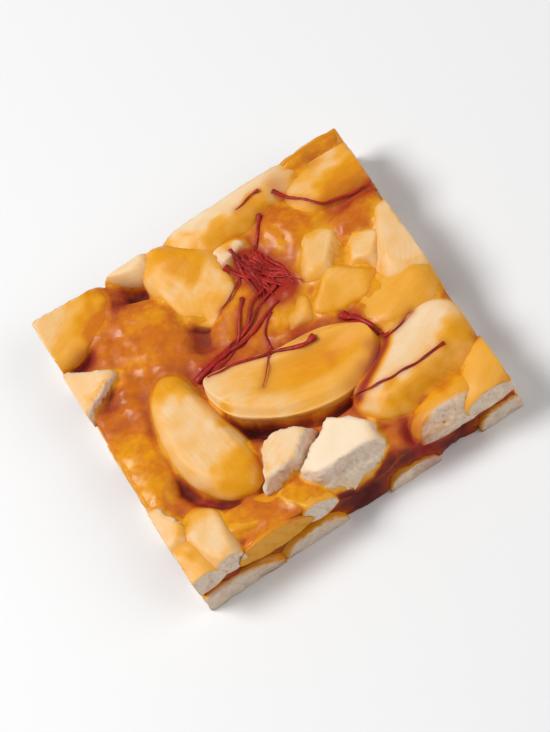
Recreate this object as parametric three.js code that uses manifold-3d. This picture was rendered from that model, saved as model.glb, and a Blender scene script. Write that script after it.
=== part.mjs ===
// A square of cashew brittle: cashew halves and broken bits set in a slab of cooked sugar,
// rolled flat and cut along four sides. Millimetres, +Z up, origin under the middle of the square.
import * as THREE from "three";
import { mergeVertices } from "three/addons/utils/BufferGeometryUtils.js";
import Module from "manifold-3d";

const wasm = await Module();
wasm.setup();

// The square, between its knife cuts
const WIDTH = 56;
const DEPTH = 54;
const SUGAR_LEVEL = 8.9; // height of the sugar between the cashews
const SUGAR_SWELL = 0.35; // how far that height rises and falls
const SUGAR_WANDER = 0.27; // how far its sides stray from a straight cut
const SUGAR_WAVE = 3.2; // how long those waves are, over two pi
const SUGAR_CELLS = 8; // divisions of its top each way
const SUGAR_INSET = 0.45; // how far the sugar stands back from the cut cashews at the sides
const GAP = 0.35; // clearance between a cashew and what surrounds it

// A cashew kernel
const HALF_HEIGHT = 5.6; // thickness of a split half
const WHOLE_HEIGHT = 7.2; // thickness of a kernel that isn't split
const MIDDLE = 0.45; // height that its faces are measured from, as a share of its thickness
const HEAD_SHARE = 0.2; // how much wider the head is than the tail
const BLUNTNESS = 3; // 2 gives elliptical ends, more gives blunter ones
const FULLNESS = 0.85; // 1 gives an elliptical dome, less gives steeper flanks
const KEEL = 0.3; // height of a kernel's rim over the lowest line of its underside, as a share of its height
const GROOVE = 0.22; // depth of the groove in a split face, as a share of the half's height
const GROOVE_EDGE = 0.45; // half the groove's width, as a share of half the half's width
const GROOVE_MIDDLE = 0.14; // how far the groove lies off the middle, as the same share
const END_STEP = 0.6; // how far the first section is from an end, in steps between sections
const FACETS = { rings: 6, arc: 6 }; // sections along a kernel, and points over its dome
const USUAL_BEND = 42; // how far a kernel curls, in degrees

// The two layers: the halves under the surface lie flat on the base along the sides, below the ones on top
const UPPER_FLOOR = 4.8;
const BASE_TOP = [2.8, 4.3];
const BASE_ROWS = 4;
const BASE_PITCH = [17, 16.6];
const BASE_SHIFT = 2.2; // how far each stands out of its row
const BASE_LENGTH = [13, 19];
const BASE_WIDTH = [8.5, 11.5];
const BASE_TURN = 137.5; // degrees from one base half to the next, so that no two lie alike
const BASE_SPREAD = [0.9, 0.618]; // where the first is between those sizes, and the step to the next
const BASE_FACETS = { rings: 4, arc: 4 }; // they show little of their domes

// The cashews of the upper layer. at is the middle of the kernel, turn its direction in degrees, top the
// height of its crown, bend how far it curls and lean its slope along and across. faces are the planes that
// cut it off: broken sides, and crowns that were rolled flat. Each has the direction it looks in, its
// distance from the middle and its slope. An open half lies with its split face up. A glazed one has a film
// of sugar over it.
const KERNELS = [
  { name: "cashew_corner_back_left", at: [-25.2, 24.4], turn: 22, length: 20, width: 13.5, top: 11.2,
    faces: [[-45, 2.2, 80]] },
  { name: "chip_back_edge", at: [-10.8, 26.8], turn: -25, length: 10, width: 5.4, top: 10.9,
    faces: [[100, 2.3, 78]] },
  { name: "cashew_back_middle", at: [-3.5, 19.2], turn: 95, length: 20, width: 12, top: 11.2,
    faces: [[250, 2.1, 76], [50, 4.4, 45]] },
  { name: "chip_back_middle", at: [3.2, 18.2], turn: -12, length: 7, width: 5, top: 11.2,
    faces: [[-70, 2, 38], [180, 2.2, 30], [90, 2, 80]] },
  { name: "cashew_back_edge", at: [7.2, 25.8], turn: 2, length: 25, width: 13, top: 11.4, bend: 30,
    faces: [[90, 2.3, 78], [-80, 4.6, 45]] },
  { name: "cashew_back_edge_right", at: [22.5, 28.4], turn: 0, length: 18, width: 9, top: 10.4 },
  { name: "cashew_corner_back_right", at: [23.2, 19.5], turn: -8, length: 18, width: 11.5, top: 11.2,
    faces: [[90, 2.2, 74], [-90, 3.8, 48]] },
  { name: "cashew_glazed_back", at: [13.8, 16.8], turn: -40, length: 15, width: 12, top: 9.9, glazed: true,
    faces: [[45, 3.2, 50]] },
  { name: "chip_fan_left", at: [14.8, 9.5], turn: 60, length: 11, width: 9.5, top: 11.2,
    faces: [[150, 2.9, 40], [330, 2.9, 42], [60, 4.6, 38], [60, 2.2, 80]] },
  { name: "chip_fan_right", at: [21.2, 6], turn: 140, length: 10, width: 8.5, top: 11,
    faces: [[-38, 2.7, 38], [150, 2.7, 38], [58, 3.2, 38], [240, 3, 44], [110, 2.1, 82]] },
  { name: "cashew_fan_front", at: [14.8, 3.2], turn: 5, length: 13.5, width: 10, top: 11,
    faces: [[135, 3.2, 40], [45, 3.2, 42], [270, 2.2, 78]] },
  { name: "chip_centre", at: [5.9, 2.8], turn: 8, length: 10, width: 7, top: 10.4, faces: [[120, 1.9, 74]] },
  { name: "cashew_sunk_centre", at: [-0.4, 8.8], turn: 18, length: 12, width: 7, top: 9.4, glazed: true },
  { name: "cashew_sunk_right", at: [22.8, 11.6], turn: 8, length: 13, width: 7, top: 9.6, glazed: true },
  { name: "cashew_right_edge", at: [26.4, 3.6], turn: 65, length: 16, width: 12, top: 11.2,
    faces: [[155, 3.9, 36], [0, 2.2, 80]] },
  { name: "cashew_open_centre", at: [1.2, -7.1], turn: -16, length: 27.4, width: 12, top: 11.2, bend: -74,
    lean: [-0.02, -0.03], open: true },
  { name: "cashew_long_left", at: [-15.8, -6], turn: -83, length: 26, width: 10.4, top: 12, bend: -62,
    faces: [[0, 2.1, 86], [10, 4.1, 42]] },
  { name: "chip_left_wedge", at: [-25.6, 12], turn: 0, length: 15, width: 13, top: 11.2,
    faces: [[58, 2.8, 15], [-64, 3.4, 15], [180, 2.3, 84]] },
  { name: "cashew_sunk_left", at: [-14, 12.6], turn: 70, length: 18, width: 13, top: 9.3, glazed: true },
  { name: "cashew_left_edge", at: [-26.5, -6], turn: 88, length: 17, width: 12, top: 10.2, glazed: true,
    faces: [[180, 2.2, 78]] },
  { name: "chip_left_front", at: [-27, -16], turn: 115, length: 9.8, width: 9, top: 10.9,
    faces: [[25, 2.6, 20], [180, 2.2, 80]] },
  { name: "cashew_front_upright", at: [-21.8, -22.6], turn: 95, length: 14, width: 6.8, top: 11.3,
    faces: [[90, 2.3, 80]] },
  { name: "cashew_corner_front_left", at: [-26.8, -24.4], turn: 108, length: 11.6, width: 9, top: 10.9,
    faces: [[200, 2.5, 76]] },
  { name: "chip_glazed_front", at: [-15.3, -21.9], turn: -4, length: 12.5, width: 6.4, top: 10.2,
    glazed: true, faces: [[60, 1.9, 74]] },
  { name: "cashew_front_edge", at: [-14.4, -28], turn: 4, length: 14, width: 8, top: 10.2, glazed: true },
  { name: "cashew_front_ridge", at: [-7.2, -24.4], turn: -50, length: 10.5, width: 5.8, top: 10.4,
    glazed: true, faces: [[40, 1.8, 60]] },
  { name: "chip_front_pale", at: [-6.3, -16.8], turn: 28, length: 16, width: 12.5, top: 11.6,
    faces: [[92, 3.8, 12], [56, 4.5, 12], [-46, 3.3, 15], [-84, 3, 15], [154, 3.2, 15], [120, 2.5, 83]] },
  { name: "cashew_front_broken", at: [1.2, -20.8], turn: 84, length: 20, width: 16, top: 12.2, whole: true,
    faces: [[48, 4.9, 12], [0, 6.4, 10], [123, 3.85, 12], [219, 5.8, 15], [-90, 3.65, 25], [90, 2.8, 86]] },
  { name: "cashew_front_right", at: [17.4, -15.4], turn: 10, length: 21.5, width: 15, top: 12,
    faces: [[100, 2.1, 76], [-80, 4.4, 46]] },
  { name: "cashew_glazed_right", at: [21.2, -3.8], turn: 12, length: 15, width: 11.5, top: 10.8, glazed: true,
    faces: [[120, 2.4, 76]] },
  { name: "cashew_corner_front_right", at: [25.6, -23.4], turn: 40, length: 14, width: 9.5, top: 10.5 },
  { name: "cashew_front_edge_right", at: [18.4, -25], turn: -4, length: 14, width: 10, top: 10.4,
    faces: [[-90, 1.4, 30]] },
];

// Finishes
const SUGAR = { color: 0xc4711c, roughness: 0.2, metalness: 0 };
const PALE_CASHEW = { color: 0xebcb92, roughness: 0.5, metalness: 0 };
const GLAZED_CASHEW = { color: 0xe0a04a, roughness: 0.25, metalness: 0 };

const radians = THREE.MathUtils.degToRad;

// Height of a kernel from its split face to its crown
function heightOf(kernel) {
  if (kernel.base) return kernel.top;
  return kernel.whole ? WHOLE_HEIGHT : Math.min(HALF_HEIGHT, kernel.top - UPPER_FLOOR);
}

// How finely a kernel is divided
function facetsOf(kernel) {
  return kernel.base ? BASE_FACETS : FACETS;
}

// A kernel's outline in section, as shares of its half width and its height: a dome over a keel, over a flat
// face on the base, or an open half with the dome below and a groove along its split face.
function sectionOf(kernel) {
  const dome = [];
  const count = facetsOf(kernel).arc;
  for (let i = 0; i < count; i++) {
    const angle = (Math.PI * i) / (count - 1);
    const across = Math.sign(Math.cos(angle)) * Math.abs(Math.cos(angle)) ** FULLNESS;
    dome.push([across, Math.sin(angle) ** FULLNESS]);
  }
  if (kernel.base) return dome;
  if (!kernel.open) return [...dome, [0, 0]];
  const bowl = dome.map(([across, up]) => [-across, 1 - up]);
  const groove = [[GROOVE_EDGE, 1], [0, 1 - GROOVE], [-GROOVE_EDGE, 1]];
  return [...bowl, ...groove.map(([across, up]) => [GROOVE_MIDDLE + across, up])];
}

// How high a point of the section stands, as a share of the kernel's height, where the section has shrunk to
// taper. An open half stays level with its split face. The underside of the others rises from keel to rim.
function liftOf(kernel, [across, up], taper) {
  if (kernel.base) return up * taper;
  if (kernel.open) return 1 - taper + up * taper;
  const sill = KEEL * (1 - taper ** 2 * (1 - across ** 2));
  return sill + (1 - sill) * up * taper;
}

// A kernel as a closed mesh: its section carried along a bent centre line, smaller and smaller towards both
// ends. grow makes it larger all round, for the pocket that it sits in.
function kernelGeometry(kernel, grow) {
  const length = kernel.length + 2 * grow;
  const bend = radians(kernel.bend ?? USUAL_BEND);
  const radius = length / bend;
  const halfWidth = kernel.width / 2 + grow;
  const height = heightOf(kernel) + 2 * grow;
  const floor = kernel.top - heightOf(kernel) - grow;
  const [along, across] = kernel.lean ?? [0, 0];
  const section = sectionOf(kernel);
  const { rings } = facetsOf(kernel);

  const place = (u, out, up) => {
    const theta = (u - 0.5) * bend;
    const x = (radius + out) * Math.sin(theta);
    const y = (radius + out) * Math.cos(theta) - radius;
    return [x, y, floor + up + along * x + across * y];
  };
  const points = [];
  for (let i = 0; i < rings; i++) {
    const u = 0.5 - 0.5 * Math.cos((Math.PI * (i + END_STEP)) / (rings - 1 + 2 * END_STEP));
    const taper = Math.sqrt(1 - Math.abs(2 * u - 1) ** BLUNTNESS);
    const size = taper * (1 + HEAD_SHARE * (2 * u - 1));
    for (const point of section) {
      points.push(...place(u, point[0] * halfWidth * size, height * liftOf(kernel, point, taper)));
    }
  }
  const tip = height * liftOf(kernel, [0, 0], 0);
  points.push(...place(0, 0, tip), ...place(1, 0, tip));

  const count = section.length;
  const tail = rings * count;
  const faces = [];
  for (let j = 0; j < count; j++) {
    const next = (j + 1) % count;
    faces.push(tail, next, j);
    for (let i = 0; i < rings - 1; i++) {
      const here = i * count;
      const there = here + count;
      faces.push(here + j, there + next, there + j, here + j, here + next, there + next);
    }
    faces.push(tail + 1, tail - count + j, tail - count + next);
  }
  const geometry = new THREE.BufferGeometry();
  geometry.setAttribute("position", new THREE.Float32BufferAttribute(points, 3));
  geometry.setIndex(faces);
  geometry.rotateZ(radians(kernel.turn));
  geometry.translate(kernel.at[0], kernel.at[1], 0);
  return geometry;
}

// A kernel as a solid, cut off by its faces
function kernelSolid(kernel, grow = 0) {
  let body = solid(kernelGeometry(kernel, grow));
  const [x, y] = kernel.at;
  const middle = new THREE.Vector3(x, y, kernel.top - (1 - MIDDLE) * heightOf(kernel));
  for (const [direction, distance, slope] of kernel.faces ?? []) {
    const facing = radians(direction);
    const tilt = radians(slope);
    const level = Math.cos(tilt);
    const inward = new THREE.Vector3(-Math.cos(facing) * level, -Math.sin(facing) * level, -Math.sin(tilt));
    body = body.trimByPlane(inward.toArray(), inward.dot(middle) - distance - grow);
  }
  return body;
}

// The slab of sugar before its pockets are cut: a block whose top swells and whose sides wander.
function slabGeometry() {
  const wide = WIDTH - 2 * SUGAR_INSET;
  const deep = DEPTH - 2 * SUGAR_INSET;
  const block = new THREE.BoxGeometry(wide, deep, SUGAR_LEVEL, SUGAR_CELLS, SUGAR_CELLS, 1);
  block.translate(0, 0, SUGAR_LEVEL / 2);
  const places = block.getAttribute("position");
  const point = new THREE.Vector3();
  for (let i = 0; i < places.count; i++) {
    point.fromBufferAttribute(places, i);
    const swell = SUGAR_SWELL * Math.sin(point.x / SUGAR_WAVE) * Math.cos(point.y / SUGAR_WAVE);
    const wander = SUGAR_WANDER * Math.sin((point.x + point.y) / SUGAR_WAVE);
    if (point.z > SUGAR_LEVEL / 2) point.z += swell;
    point.x *= 1 + wander / WIDTH;
    point.y *= 1 + wander / DEPTH;
    places.setXYZ(i, point.x, point.y, point.z);
  }
  return block;
}

// A three.js geometry as a solid that can be cut
function solid(geometry) {
  const bare = geometry.clone();
  bare.deleteAttribute("normal");
  bare.deleteAttribute("uv");
  const merged = mergeVertices(bare, 1e-3);
  return new wasm.Manifold(
    new wasm.Mesh({
      numProp: 3,
      vertProperties: merged.getAttribute("position").array,
      triVerts: new Uint32Array(merged.index.array),
    }),
  );
}

// The largest piece of a solid, without crumbs that a cut has left
function largest(body) {
  return body.decompose().sort((a, b) => b.volume() - a.volume())[0];
}

// A cut solid as a named three.js mesh
function meshOf(name, body, finish) {
  const cut = body.getMesh();
  const geometry = new THREE.BufferGeometry();
  geometry.setAttribute("position", new THREE.BufferAttribute(cut.vertProperties, 3));
  geometry.setIndex(new THREE.BufferAttribute(cut.triVerts, 1));
  geometry.computeVertexNormals();
  const mesh = new THREE.Mesh(geometry, new THREE.MeshStandardMaterial(finish));
  mesh.name = name;
  return mesh;
}

// The halves that lie flat on the base, in rows along the four sides, each turned and shifted from the last
function baseKernels() {
  const made = [];
  const middle = (BASE_ROWS - 1) / 2;
  for (let i = 0; i < BASE_ROWS * BASE_ROWS; i++) {
    const column = i % BASE_ROWS;
    const row = Math.floor(i / BASE_ROWS);
    const atSide = [column, row].some((place) => place % (BASE_ROWS - 1) === 0);
    if (!atSide) continue;
    const turn = i * BASE_TURN;
    const share = (BASE_SPREAD[0] + i * BASE_SPREAD[1]) % 1;
    made.push({
      name: `cashew_base_${String(made.length + 1).padStart(2, "0")}`,
      at: [
        (column - middle) * BASE_PITCH[0] + BASE_SHIFT * Math.cos(radians(turn)),
        (row - middle) * BASE_PITCH[1] + BASE_SHIFT * Math.sin(radians(turn)),
      ],
      turn,
      length: THREE.MathUtils.lerp(...BASE_LENGTH, share),
      width: THREE.MathUtils.lerp(...BASE_WIDTH, share),
      top: THREE.MathUtils.lerp(...BASE_TOP, share),
      base: true,
    });
  }
  return made;
}

// Every kernel is cut off at the sides, and then by the higher ones that press into it.
const knife = solid(new THREE.BoxGeometry(WIDTH, DEPTH, 4 * SUGAR_LEVEL).translate(0, 0, 2 * SUGAR_LEVEL));
const brittle = new THREE.Group();
const pockets = [];
const kernels = [...KERNELS, ...baseKernels()].sort((a, b) => b.top - a.top);
for (const kernel of kernels) {
  let body = kernelSolid(kernel).intersect(knife);
  for (const pocket of pockets) body = body.subtract(pocket);
  brittle.add(meshOf(kernel.name, largest(body), kernel.glazed ? GLAZED_CASHEW : PALE_CASHEW));
  pockets.push(kernelSolid(kernel, GAP));
}
let slab = solid(slabGeometry());
for (const pocket of pockets) slab = slab.subtract(pocket);
brittle.add(meshOf("sugar_slab", largest(slab), SUGAR));

export default brittle;
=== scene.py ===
"""Cashew brittle: a square of cooked sugar with cashews and saffron threads, and the stage it is shown on."""
import math
from collections import namedtuple
from dataclasses import dataclass
from functools import lru_cache

import bpy
import numpy as np
from bpy.props import FloatProperty, FloatVectorProperty, PointerProperty
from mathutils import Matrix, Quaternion, Vector


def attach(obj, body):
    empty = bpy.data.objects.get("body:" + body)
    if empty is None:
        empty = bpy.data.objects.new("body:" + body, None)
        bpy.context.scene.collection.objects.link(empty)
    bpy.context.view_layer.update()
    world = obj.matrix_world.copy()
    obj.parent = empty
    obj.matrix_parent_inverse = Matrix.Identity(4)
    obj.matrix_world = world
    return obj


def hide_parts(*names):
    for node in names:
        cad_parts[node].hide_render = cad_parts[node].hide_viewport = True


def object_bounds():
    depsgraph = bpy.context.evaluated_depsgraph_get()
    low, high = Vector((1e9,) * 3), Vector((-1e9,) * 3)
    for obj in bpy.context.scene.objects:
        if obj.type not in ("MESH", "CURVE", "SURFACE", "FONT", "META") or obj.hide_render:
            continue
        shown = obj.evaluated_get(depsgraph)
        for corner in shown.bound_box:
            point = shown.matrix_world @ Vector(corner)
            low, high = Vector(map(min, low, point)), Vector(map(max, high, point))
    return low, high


bl_info = {
    "name": "Cashew brittle",
    "version": (1, 0, 0),
    "blender": (4, 5, 0),
    "location": "3D View > Sidebar > Brittle",
    "description": "Makes a square of cashew brittle with saffron, and a plain stage for it",
    "category": "Add Mesh",
}

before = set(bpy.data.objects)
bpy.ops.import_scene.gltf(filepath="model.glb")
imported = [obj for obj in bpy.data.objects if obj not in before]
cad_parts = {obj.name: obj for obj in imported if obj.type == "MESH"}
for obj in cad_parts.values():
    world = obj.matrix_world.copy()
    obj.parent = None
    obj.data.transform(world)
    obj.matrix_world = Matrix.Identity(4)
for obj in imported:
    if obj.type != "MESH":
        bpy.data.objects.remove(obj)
CAD_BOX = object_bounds()

# Shapes are worked out in millimetres and put into meshes in metres.
MM = 0.001
HALF_WIDTH = CAD_BOX[1].x / MM
HALF_DEPTH = CAD_BOX[1].y / MM

# The sides that the knife cuts, as the direction each looks in and its distance from the middle
KNIFE = ((1, 0, HALF_WIDTH), (-1, 0, HALF_WIDTH), (0, 1, HALF_DEPTH), (0, -1, HALF_DEPTH))


# The cashews

# The lowest underside of the upper layer, and the heights of a half and of a whole kernel
UPPER_FLOOR = 4.8
HALF_HEIGHT = 5.6
WHOLE_HEIGHT = 7.2

# How far up a kernel its middle is, as a share of its height
MIDDLE_SHARE = 0.45


@dataclass(frozen=True)
class Cashew:
    """One kernel. Lengths are in millimetres and angles in degrees.

    film is how far the sugar stands over it, below zero where it stands bare out of the sugar. tone is its
    colour, from white at 0 to amber at 1. shade is painted shade, partly glaze: the direction, away from the
    key light, in which the tone grows, and by how much.
    lean is its rise along and across it. An open one is a half with its groove up, and a base one lies in
    the lower layer. faces are planes that cut it off, each as the direction it looks in, its distance from
    the middle and its slope.
    """
    name: str
    x: float
    y: float
    turn: float
    length: float
    width: float
    top: float
    bend: float = 42
    film: float = -0.8
    tone: float = 0.3
    shade: tuple = (0, 0)
    lean: tuple = (0, 0)
    height: float = HALF_HEIGHT
    open: bool = False
    base: bool = False
    faces: tuple = ()

    @property
    def floor(self):
        """Height of its underside."""
        return 0.0 if self.base else max(UPPER_FLOOR, self.top - self.height)

    def tone_at(self, places):
        """Its colour at places, as its tone and its shade, partly painted shade, have it."""
        along = (places[..., :2] - (self.x, self.y)) @ bearing(self.shade[0])[:2]
        return self.tone + self.shade[1] * along / (0.5 * self.length)

    @property
    def middle(self):
        """The point from which its faces are measured."""
        return np.array([self.x, self.y, self.floor + MIDDLE_SHARE * (self.top - self.floor)])


# The upper layer: each one's name, x, y, turn, length, width and top, and then what is not as usual
# A kernel's shade darkens the side away from the key light as painted shade, partly glaze
UPPER = (
    Cashew("cashew_corner_back_left", -25.2, 24.4, 22, 20, 13.5, 11.2, tone=0.38, shade=(-50, 0.3),
           faces=((-45, 2.2, 80),)),
    Cashew("chip_back_edge", -10.8, 26.8, -25, 10, 5.4, 10.9, tone=0.2, faces=((100, 2.3, 78),)),
    Cashew("cashew_back_middle", -3.5, 19.2, 95, 20, 12, 11.2, tone=0.36,
           faces=((250, 2.1, 76), (50, 4.4, 45))),
    Cashew("chip_back_middle", 3.2, 18.2, -12, 7, 5, 11.2, tone=0.12,
           faces=((-70, 2, 38), (180, 2.2, 30), (90, 2, 80))),
    Cashew("cashew_back_edge", 7.2, 25.8, 2, 25, 13, 11.4, bend=30, tone=0.16, shade=(-80, 0.45),
           faces=((90, 2.3, 78), (-80, 4.6, 45))),
    Cashew("cashew_back_edge_right", 22.5, 28.4, 0, 18, 9, 10.4, film=0, tone=0.45),
    Cashew("cashew_corner_back_right", 23.2, 19.5, -8, 18, 11.5, 11.2, tone=0.4, shade=(-90, 0.22),
           faces=((90, 2.2, 74), (-90, 3.8, 48))),
    Cashew("cashew_glazed_back", 13.8, 16.8, -40, 15, 12, 9.9, film=0.08, tone=0.5, faces=((45, 3.2, 50),)),
    Cashew("chip_fan_left", 14.8, 9.5, 60, 11, 9.5, 11.2, tone=0.34,
           faces=((150, 2.9, 40), (330, 2.9, 42), (60, 4.6, 38), (60, 2.2, 80))),
    Cashew("chip_fan_right", 21.2, 6, 140, 10, 8.5, 11, tone=0.32,
           faces=((-38, 2.7, 38), (150, 2.7, 38), (58, 3.2, 38), (240, 3, 44), (110, 2.1, 82))),
    Cashew("cashew_fan_front", 14.8, 3.2, 5, 13.5, 10, 11, tone=0.46,
           faces=((135, 3.2, 40), (45, 3.2, 42), (270, 2.2, 78))),
    Cashew("chip_centre", 5.9, 2.8, 8, 10, 7, 10.4, film=-0.7, tone=0.36, faces=((120, 1.9, 74),)),
    Cashew("cashew_sunk_centre", -0.4, 8.8, 18, 12, 7, 9.4, film=0.3, tone=0.5),
    Cashew("cashew_sunk_right", 22.8, 11.6, 8, 13, 7, 9.6, film=0.25, tone=0.5),
    Cashew("cashew_right_edge", 26.4, 3.6, 65, 16, 12, 11.2, tone=0.27, faces=((155, 3.9, 36), (0, 2.2, 80))),
    Cashew("cashew_open_centre", 1.2, -7.1, -16, 27.4, 12, 11.2, bend=-74, tone=0.36, shade=(-10, 0.12),
           lean=(-0.02, -0.03), open=True),
    Cashew("cashew_long_left", -15.8, -6, -83, 26, 10.4, 12, bend=-62, tone=0.32,
           faces=((0, 2.1, 86), (10, 4.1, 42))),
    Cashew("chip_left_wedge", -25.6, 12, 0, 15, 13, 11.2, tone=0.31,
           faces=((58, 2.8, 15), (-64, 3.4, 15), (180, 2.3, 84))),
    Cashew("cashew_sunk_left", -14, 12.6, 70, 18, 13, 9.3, film=0.3, tone=0.5),
    Cashew("cashew_left_edge", -26.5, -6, 88, 17, 12, 10.2, film=0.12, tone=0.4, faces=((180, 2.2, 78),)),
    Cashew("chip_left_front", -27, -16, 115, 9.8, 9, 10.9, tone=0.3, faces=((25, 2.6, 20), (180, 2.2, 80))),
    Cashew("cashew_front_upright", -21.8, -22.6, 95, 14, 6.8, 11.3, tone=0.28, faces=((90, 2.3, 80),)),
    Cashew("cashew_corner_front_left", -26.8, -24.4, 108, 11.6, 9, 10.9, tone=0.38, faces=((200, 2.5, 76),)),
    Cashew("chip_glazed_front", -15.3, -21.9, -4, 12.5, 6.4, 10.2, film=-0.3, tone=0.56,
           faces=((60, 1.9, 74),)),
    Cashew("cashew_front_edge", -14.4, -28, 4, 14, 8, 10.2, film=-0.3, tone=0.66),
    Cashew("cashew_front_ridge", -7.2, -24.4, -50, 10.5, 5.8, 10.4, film=-0.4, tone=0.45,
           faces=((40, 1.8, 60),)),
    Cashew("chip_front_pale", -6.3, -16.8, 28, 16, 12.5, 11.6, film=-2.5, tone=0.34,
           faces=((92, 3.8, 12), (56, 4.5, 12), (-46, 3.3, 15), (-84, 3, 15), (154, 3.2, 15),
                  (120, 2.5, 83))),
    Cashew("cashew_front_broken", 1.2, -20.8, 84, 20, 16, 12.2, film=-2.5, height=WHOLE_HEIGHT, tone=0.08,
           faces=((48, 4.9, 12), (0, 6.4, 10), (123, 3.85, 12), (219, 5.8, 15), (-90, 3.65, 25),
                  (90, 2.8, 86))),
    Cashew("cashew_front_right", 17.4, -15.4, 10, 21.5, 15, 12, tone=0.28, shade=(-80, 0.3),
           faces=((100, 2.1, 76), (-80, 4.4, 46))),
    Cashew("cashew_glazed_right", 21.2, -3.8, 12, 15, 11.5, 10.8, film=-0.45, tone=0.44,
           faces=((120, 2.4, 76),)),
    Cashew("cashew_corner_front_right", 25.6, -23.4, 40, 14, 9.5, 10.5, film=-0.55, tone=0.4),
    Cashew("cashew_front_edge_right", 18.4, -25, -4, 14, 10, 10.4, tone=0.56, faces=((-90, 1.4, 30),)),
)

# The lower layer: rows of cashews, how far apart they lie, and how each is turned and shifted from its place
BASE_ROWS = 4
BASE_PITCH = (17, 16.6)
BASE_TURN = 137.5
BASE_SHIFT = 2.2

# The limits of their sizes and tones, and the first one's share between those and the step to the next one's
BASE_LENGTH = (13, 19)
BASE_WIDTH = (8.5, 11.5)
BASE_TOP = (2.8, 4.3)
BASE_TONE = (0.1, 0.5)
BASE_LIMITS = (BASE_LENGTH, BASE_WIDTH, BASE_TOP, BASE_TONE)
BASE_SPREAD = (0.9, 0.618)


def base_cashew(number, i):
    """A cashew of the lower layer, turned and shifted on from the last.

    Its sizes and its tone stand between their limits at a share that steps on from cashew to cashew.
    """
    middle = (BASE_ROWS - 1) / 2
    turn = i * BASE_TURN
    out = BASE_SHIFT * bearing(turn)
    share = (BASE_SPREAD[0] + i * BASE_SPREAD[1]) % 1
    length, width, top, tone = (low + (high - low) * share for low, high in BASE_LIMITS)
    return Cashew(
        f"cashew_base_{number:02d}",
        (i % BASE_ROWS - middle) * BASE_PITCH[0] + out[0],
        (i // BASE_ROWS - middle) * BASE_PITCH[1] + out[1],
        turn, length, width, top, base=True, tone=tone,
    )


def bearing(direction, slope=0.0):
    """The unit vector that looks in a direction, raised by a slope, both in degrees."""
    facing = math.radians(direction)
    tilt = math.radians(slope)
    return np.array([math.cos(facing) * math.cos(tilt), math.sin(facing) * math.cos(tilt), math.sin(tilt)])


def at_side(i):
    """Whether a place of the lower layer is in its first or last row or column."""
    return any(place % (BASE_ROWS - 1) == 0 for place in divmod(i, BASE_ROWS))


BASE = tuple(base_cashew(n, i) for n, i in enumerate(filter(at_side, range(BASE_ROWS * BASE_ROWS)), 1))

# Where a film of sugar lies on the cashews, as (x, y, radius, strength)
FILMS = (
    (-4, 23.5, 3.8, 1.1),
    (-2.8, 18.8, 2.3, 0.9),
    (-14.6, 5.4, 4.6, 1.0),
    (-12.6, -15.8, 4.6, 1.0),
    (-10.2, -6, 2.2, 0.7),
    (23, 16.6, 4.4, 0.9),
    (27, 17.5, 3, 0.8),
    (-18.8, 20.5, 4.2, 0.9),
    (-24, 8, 3, 0.8),
    (25.5, -16, 3.6, 0.8),
    (19, -20.8, 3.6, 0.7),
    (12.5, -19.6, 3, 0.7),
    (4, 21.8, 3.4, 0.8),
    (11, 21.6, 3.4, 0.8),
    (-26.5, -23.5, 3, 0.5),
)

# Where the sugar has sunk away between the cashews, darkened there with painted shade, as (x, y, radius,
# depth)
HOLLOWS = (
    (-12, 22.6, 2.8, 3.2),
    (-9.4, 21.4, 1.8, 1.6),
    (-24, 17.6, 2.2, 2.0),
    (-8, -9, 2.0, 2.4),
    (-6, -11.3, 1.4, 1.8),
    (-7, 7.6, 2.6, 1.2),
    (-4, 12, 3.6, 1.3),
    (12, -25, 1.8, 2.2),
    (-11, -19.6, 1.6, 1.4),
    (6.5, 12, 3.0, 0.5),
    (-1, -28.5, 3.6, 4.0),
    (5, -28.5, 3.6, 4.0),
    (18.4, -28.6, 3.8, 3.0),
)

# Lines where the sugar lies deep between two cashews, darkened there with painted shade, as their points,
# radius and depth
CREVICES = (
    (((-11.2, -1.5), (-10, -4.8), (-8, -8.5), (-5, -11.2), (-2, -13.4), (2, -14.6), (6, -14.5)), 0.8, 1.8),
    (((-0.4, -15.8), (-2.6, -17.8), (-4.8, -19.6)), 0.6, 1.4),
    (((23.6, 7.8), (22, 4.5), (20.4, 1.2)), 0.7, 1.2),
    (((-22, -11), (-20, -15), (-17, -17.5), (-13, -19.5), (-10.5, -20.5)), 1.1, 1.4),
    (((14.5, 24), (20, 25), (28, 24.9)), 0.6, 1.2),
    (((-0.4, 19.4), (0.6, 17), (1.9, 14.4)), 0.4, 1.0),
    (((13.6, 12.6), (16.5, 10.6), (19.6, 8.4)), 0.5, 1.0),
    (((15.6, -7.4), (14, -10.2), (11.4, -12.4), (8.4, -14.2)), 0.7, 1.4),
    (((-8.8, 14.4), (-7.4, 11.6), (-4.2, 10), (-0.6, 11), (1.6, 13.4)), 0.7, 1.0),
    (((9.5, -19.4), (13, -21.8), (16, -22.8), (20, -21.2), (24, -19.8)), 0.6, 1.2),
    (((-28, -19.8), (-25, -19.6), (-23.8, -21), (-23.4, -26.5)), 0.6, 1.2),
)

# Where deep sugar and painted shade darken the edge of a cashew along a crevice, as the line's points, its
# radius and the tone it adds
PAINTED_SHADE_SEAMS = (
    (((16.4, -8.6), (15.6, -10.4), (13.6, -12), (11.6, -13.5), (7.8, -16)), 0.85, 1.4),
)

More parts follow.
